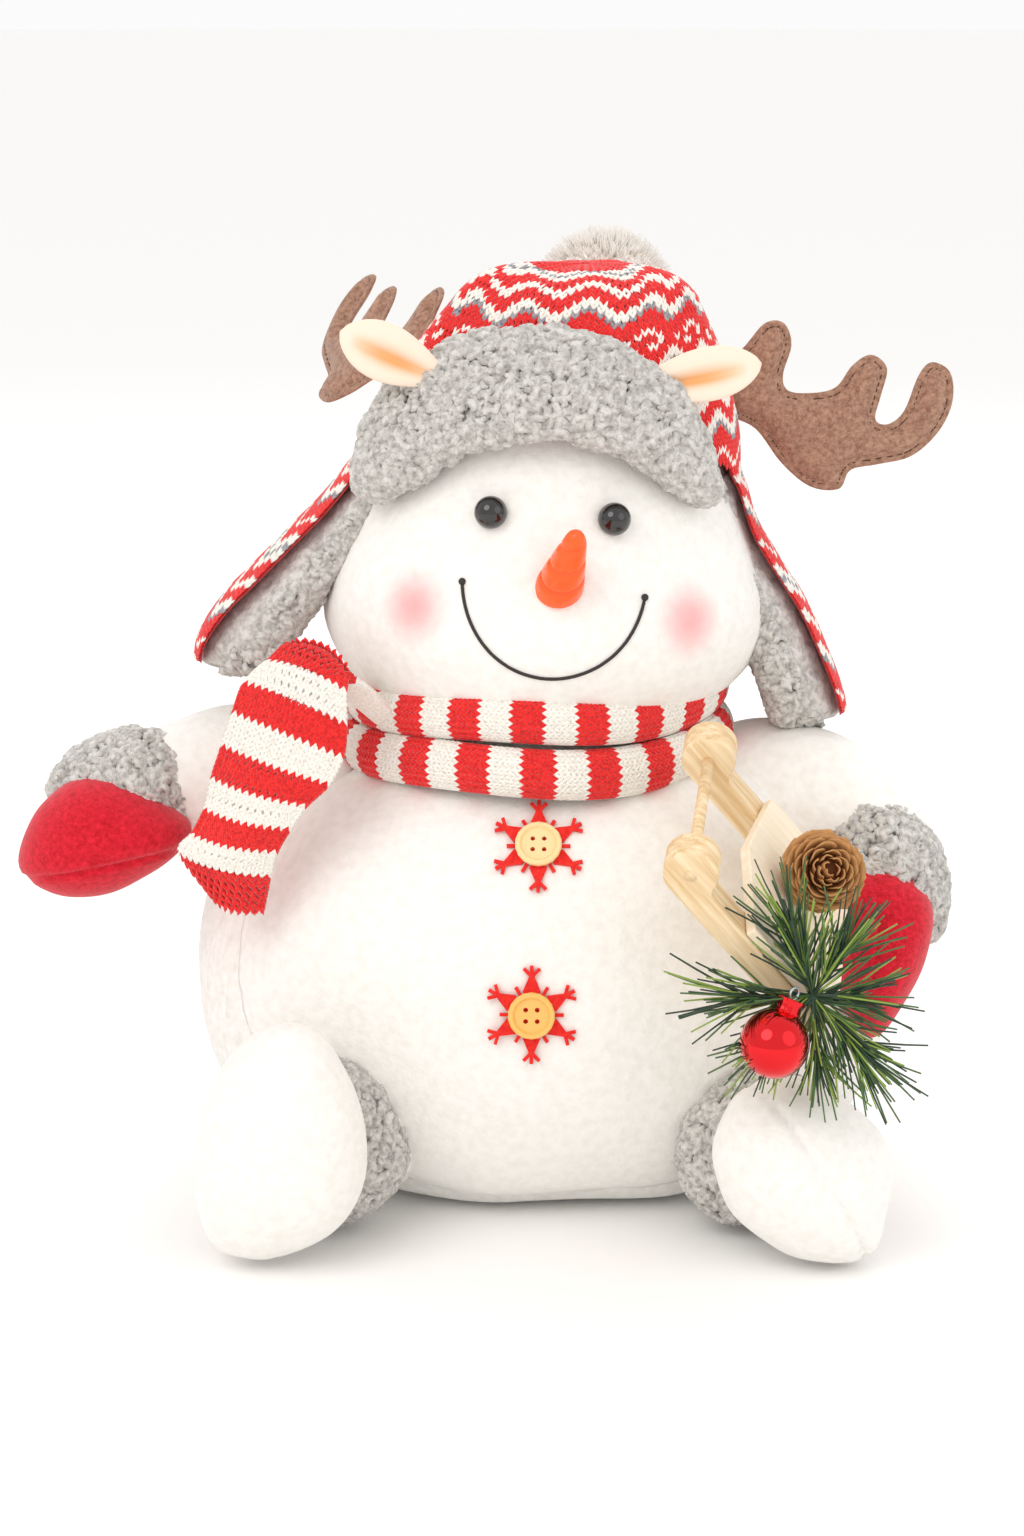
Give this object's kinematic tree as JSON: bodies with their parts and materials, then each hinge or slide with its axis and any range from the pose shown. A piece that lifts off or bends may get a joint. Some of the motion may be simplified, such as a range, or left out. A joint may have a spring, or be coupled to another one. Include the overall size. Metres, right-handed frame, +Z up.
{
  "type": "stuffed snowman figure",
  "caption": "Seated stuffed snowman in a knitted hat with ear flaps and felt antlers, scarf and mittens, holding a wooden sled with a pine sprig and bauble.",
  "frame": {"origin": "centre of the round base panel, on the surface the figure sits on", "axes": "+Z up, the figure faces -Y, +X to the right as seen from the front"},
  "size_m": [0.3474, 0.2706, 0.35],
  "materials": {
    "white_fleece": "short brushed fleece",
    "ribbed_plush": "ribbed plush",
    "stuffing": "loose polyester filling",
    "pellet_cloth": "woven bag",
    "black_bead": "polished",
    "carrot_plastic": "satin moulded",
    "dark_thread": "twisted thread",
    "red_flake": "laser-cut felt",
    "button_plastic": "gloss",
    "hat_knit": "patterned machine knit",
    "grey_sherpa": "curly pile",
    "cream_felt": "felt",
    "brown_felt": "felt",
    "scarf_knit": "striped machine knit",
    "red_felt": "wool felt",
    "pale_wood": "bare sanded",
    "cone_scale": "natural",
    "pine_green": "satin",
    "red_mirror": "mirror",
    "red_cap": "metallised",
    "hook_wire": "wire",
    "cream_yarn": "cut pile yarn"
  },
  "bodies": {
    "torso": {"base_panel": "ribbed_plush", "pellet_bag": "pellet_cloth", "body_stuffing": "stuffing", "body_front": "white_fleece", "body_back": "ribbed_plush", "head_skin": "white_fleece", "head_stuffing": "stuffing", "eye_l": "black_bead", "eye_r": "black_bead", "carrot_nose": "carrot_plastic", "smile_cord": "dark_thread", "snowflake_upper": "red_flake", "snowflake_lower": "red_flake", "button_upper": "button_plastic", "button_lower": "button_plastic", "hat_crown": "hat_knit", "hat_brim": "grey_sherpa", "ear_l": "cream_felt", "ear_r": "cream_felt", "scarf_wrap_lower": "scarf_knit", "scarf_wrap_upper": "scarf_knit", "scarf_knot": "scarf_knit"},
    "arm_left": {"arm_l": "white_fleece", "cuff_l": "grey_sherpa", "mitten_l": "red_felt"},
    "arm_right": {"arm_r": "white_fleece", "cuff_r": "grey_sherpa", "mitten_r": "red_felt", "sled_runner_front": "pale_wood", "sled_runner_back": "pale_wood", "sled_crossbar": "pale_wood", "sled_seat": "pale_wood", "pinecone": "cone_scale", "sprig_stem": "pine_green", "sprig_needles": "pine_green"},
    "bauble_ball": {"bauble": "red_mirror", "bauble_cap": "red_cap", "bauble_hook": "hook_wire"},
    "leg_left": {"leg_l": "white_fleece", "boot_cuff_l": "grey_sherpa", "boot_l": "white_fleece"},
    "leg_right": {"leg_r": "white_fleece", "boot_cuff_r": "grey_sherpa", "boot_r": "white_fleece"},
    "flap_left": {"flap_knit_l": "hat_knit", "flap_lining_l": "grey_sherpa"},
    "flap_right": {"flap_knit_r": "hat_knit", "flap_lining_r": "grey_sherpa"},
    "antler_left": {"antler_l": "brown_felt"},
    "antler_right": {"antler_r": "brown_felt"},
    "scarf_end": {"scarf_tail": "scarf_knit"},
    "pompom_ball": {"pompom": "cream_yarn"}
  },
  "joints": [
    {"name": "arm_left_swing", "type": "hinge", "parent": "torso", "child": "arm_left", "pos_m": [-0.094, -0.006, 0.151], "axis": [0, 0, 1], "range_deg": [-14, 8]},
    {"name": "arm_right_swing", "type": "hinge", "parent": "torso", "child": "arm_right", "pos_m": [0.094, -0.006, 0.151], "axis": [0, 0, 1], "range_deg": [0, 28]},
    {"name": "bauble_tilt", "type": "hinge", "parent": "arm_right", "child": "bauble_ball", "pos_m": [0.084, -0.152, 0.11], "axis": [0, 1, 0], "range_deg": [-8, 8]},
    {"name": "leg_left_splay", "type": "hinge", "parent": "torso", "child": "leg_left", "pos_m": [-0.062, -0.06, 0.027], "axis": [0, 0, 1], "range_deg": [-9, 8]},
    {"name": "leg_right_splay", "type": "hinge", "parent": "torso", "child": "leg_right", "pos_m": [0.062, -0.06, 0.027], "axis": [0, 0, 1], "range_deg": [-8, 15]},
    {"name": "flap_left_lift", "type": "hinge", "parent": "torso", "child": "flap_left", "pos_m": [-0.08, -0.004, 0.268], "axis": [0, 1, 0], "range_deg": [0, 40]},
    {"name": "flap_right_lift", "type": "hinge", "parent": "torso", "child": "flap_right", "pos_m": [0.08, -0.004, 0.268], "axis": [0, -1, 0], "range_deg": [0, 15]},
    {"name": "antler_left_nod", "type": "hinge", "parent": "torso", "child": "antler_left", "pos_m": [-0.05, 0.007, 0.307], "axis": [0.7049, 0.3519, -0.6159], "range_deg": [-8, 8], "stiffness_Nm_per_rad": 0.15},
    {"name": "antler_right_nod", "type": "hinge", "parent": "torso", "child": "antler_right", "pos_m": [0.066, 0, 0.295], "axis": [0, 1, 0], "range_deg": [-10, 1], "stiffness_Nm_per_rad": 0.15},
    {"name": "scarf_tail_lift", "type": "hinge", "parent": "torso", "child": "scarf_end", "pos_m": [-0.087, -0.081, 0.19], "axis": [-0.77, 0.638, 0], "range_deg": [0, 35]},
    {"name": "pompom_nod", "type": "hinge", "parent": "torso", "child": "pompom_ball", "pos_m": [0.0225, 0.041, 0.3235], "axis": [1, 0, 0], "range_deg": [-8, 12], "stiffness_Nm_per_rad": 0.4}
  ]
}
